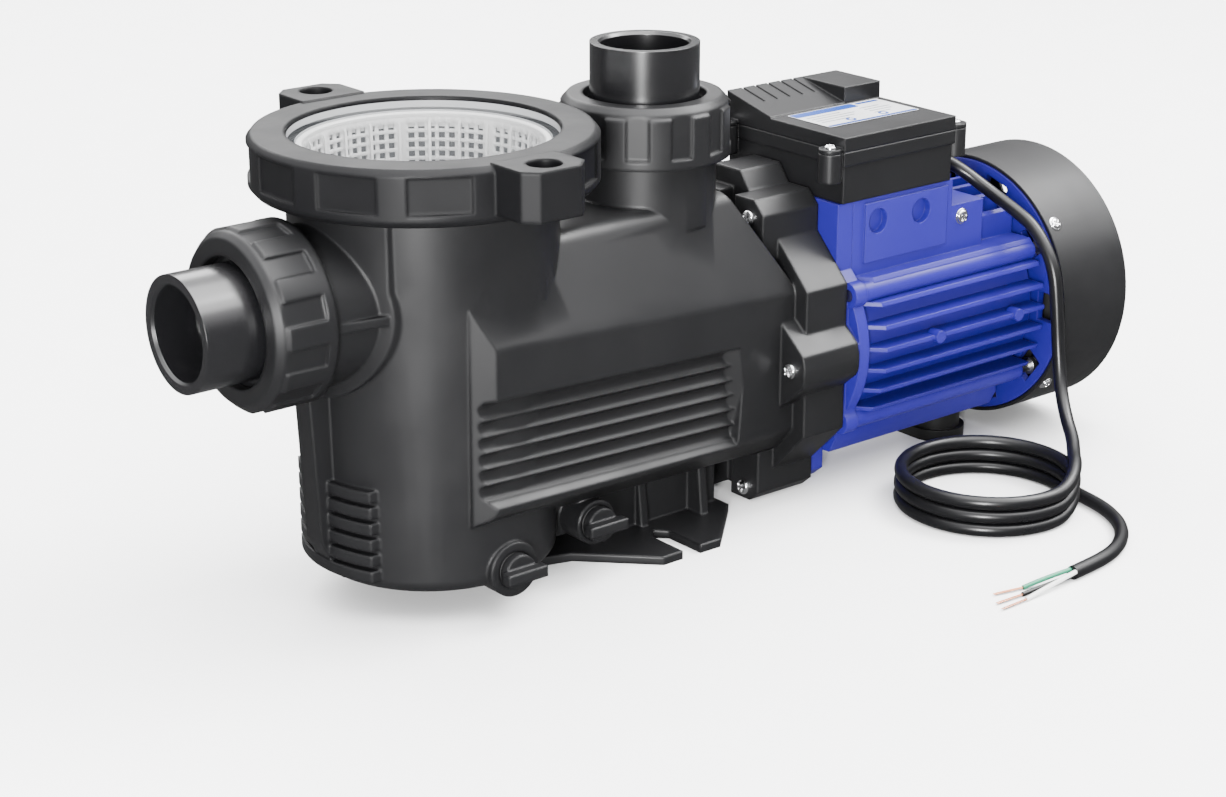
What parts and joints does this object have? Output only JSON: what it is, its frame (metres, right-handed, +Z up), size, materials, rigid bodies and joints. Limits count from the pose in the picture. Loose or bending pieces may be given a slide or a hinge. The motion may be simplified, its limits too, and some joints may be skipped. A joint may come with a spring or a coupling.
{
  "type": "pool pump",
  "caption": "Self-priming pool pump: strainer pot with clear lid and lock ring, two pipe unions, finned motor, terminal box, mounting foot and a coiled supply cord.",
  "frame": {"origin": "middle of the pump's length and width, on the floor that the foot stands on", "axes": "+X along the shaft from the suction port to the motor's fan cover, +Z up out of the discharge port, -Y towards the side with the drain plugs and the supply cord"},
  "size_m": [0.62, 0.3403, 0.2762],
  "materials": {
    "casing_plastic": "satin",
    "union_black": "gloss",
    "lid_clear": "clear gloss",
    "basket_white": "satin",
    "inner_plastic": "satin",
    "seal_rubber": "matte",
    "seal_ceramic": "polished",
    "motor_blue": "satin enamel",
    "cover_grey": "satin",
    "bright_screw": "polished",
    "steel": "ground",
    "stator_steel": "laminated",
    "rotor_metal": "cast and turned",
    "box_plastic": "satin",
    "plate_metal": "brushed",
    "capacitor_case": "gloss",
    "terminal_plastic": "satin",
    "pad_rubber": "matte",
    "cord_sheath": "satin",
    "core_green": "gloss",
    "core_black": "gloss",
    "core_white": "gloss",
    "copper": "bright copper"
  },
  "bodies": {
    "pump": {"pump_casing": "casing_plastic", "mounting_foot": "casing_plastic", "inlet_tailpiece": "union_black", "discharge_tailpiece": "union_black", "diffuser": "inner_plastic", "seal_plate": "inner_plastic", "inlet_union_seal": "seal_rubber", "discharge_union_seal": "seal_rubber", "lid_seal": "seal_rubber", "flange_seal": "seal_rubber", "front_drain_seal": "seal_rubber", "rear_drain_seal": "seal_rubber", "seal_seat": "seal_ceramic", "motor_front_bracket": "motor_blue", "motor_frame": "motor_blue", "motor_rear_shield": "motor_blue", "fan_cover": "cover_grey", "casing_screws": "bright_screw", "fan_cover_screws": "bright_screw", "earth_screw": "bright_screw", "box_cover_screws": "bright_screw", "tie_bolts": "steel", "front_bearing": "steel", "rear_bearing": "steel", "stator": "stator_steel", "motor_foot_pad": "pad_rubber", "junction_box": "box_plastic", "junction_box_cover": "box_plastic", "rating_plate": "plate_metal", "capacitor": "capacitor_case", "terminal_block": "terminal_plastic", "cable_gland": "pad_rubber", "cord_drop": "cord_sheath", "cord_coil": "cord_sheath", "cord_tail": "cord_sheath", "core_green": "core_green", "core_black": "core_black", "core_white": "core_white", "copper_ends": "copper"},
    "shaft": {"motor_shaft": "steel", "rotor": "rotor_metal", "impeller": "inner_plastic", "seal_head": "seal_rubber", "water_slinger": "seal_rubber", "cooling_fan": "inner_plastic"},
    "lid": {"lid": "lid_clear"},
    "lock_ring": {"lock_ring": "casing_plastic"},
    "basket": {"basket": "basket_white"},
    "inlet_nut": {"inlet_nut": "casing_plastic"},
    "discharge_nut": {"discharge_nut": "casing_plastic"},
    "front_drain_plug": {"front_drain_plug": "casing_plastic"},
    "rear_drain_plug": {"rear_drain_plug": "casing_plastic"}
  },
  "joints": [
    {"name": "shaft_spin", "type": "hinge", "parent": "pump", "child": "shaft", "pos_m": [0.15, 0, 0.0888], "axis": [1, 0, 0], "continuous": true},
    {"name": "lid_lift", "type": "slide", "parent": "pump", "child": "lid", "axis": [0, 0, 1], "range_m": [0, 0.25]},
    {"name": "ring_turn", "type": "hinge", "parent": "lid", "child": "lock_ring", "pos_m": [-0.161, 0, 0.236], "axis": [0, 0, 1], "range_deg": [0, 45]},
    {"name": "basket_lift", "type": "slide", "parent": "pump", "child": "basket", "axis": [0, 0, 1], "range_m": [0, 0.2251]},
    {"name": "inlet_nut_turn", "type": "hinge", "parent": "pump", "child": "inlet_nut", "pos_m": [-0.263, 0, 0.1693], "axis": [-1, 0, 0], "continuous": true},
    {"name": "discharge_nut_turn", "type": "hinge", "parent": "pump", "child": "discharge_nut", "pos_m": [-0.0146, 0, 0.2315], "axis": [0, 0, 1], "continuous": true},
    {"name": "front_drain_turn", "type": "hinge", "parent": "pump", "child": "front_drain_plug", "pos_m": [-0.158, -0.07, 0.027], "axis": [0, -1, 0], "continuous": true},
    {"name": "rear_drain_turn", "type": "hinge", "parent": "pump", "child": "rear_drain_plug", "pos_m": [-0.091, -0.054, 0.031], "axis": [0, -1, 0], "continuous": true}
  ],
  "couplings": [
    {"joint": "basket_lift", "follows": "lid_lift", "ratio": 0.9}
  ]
}
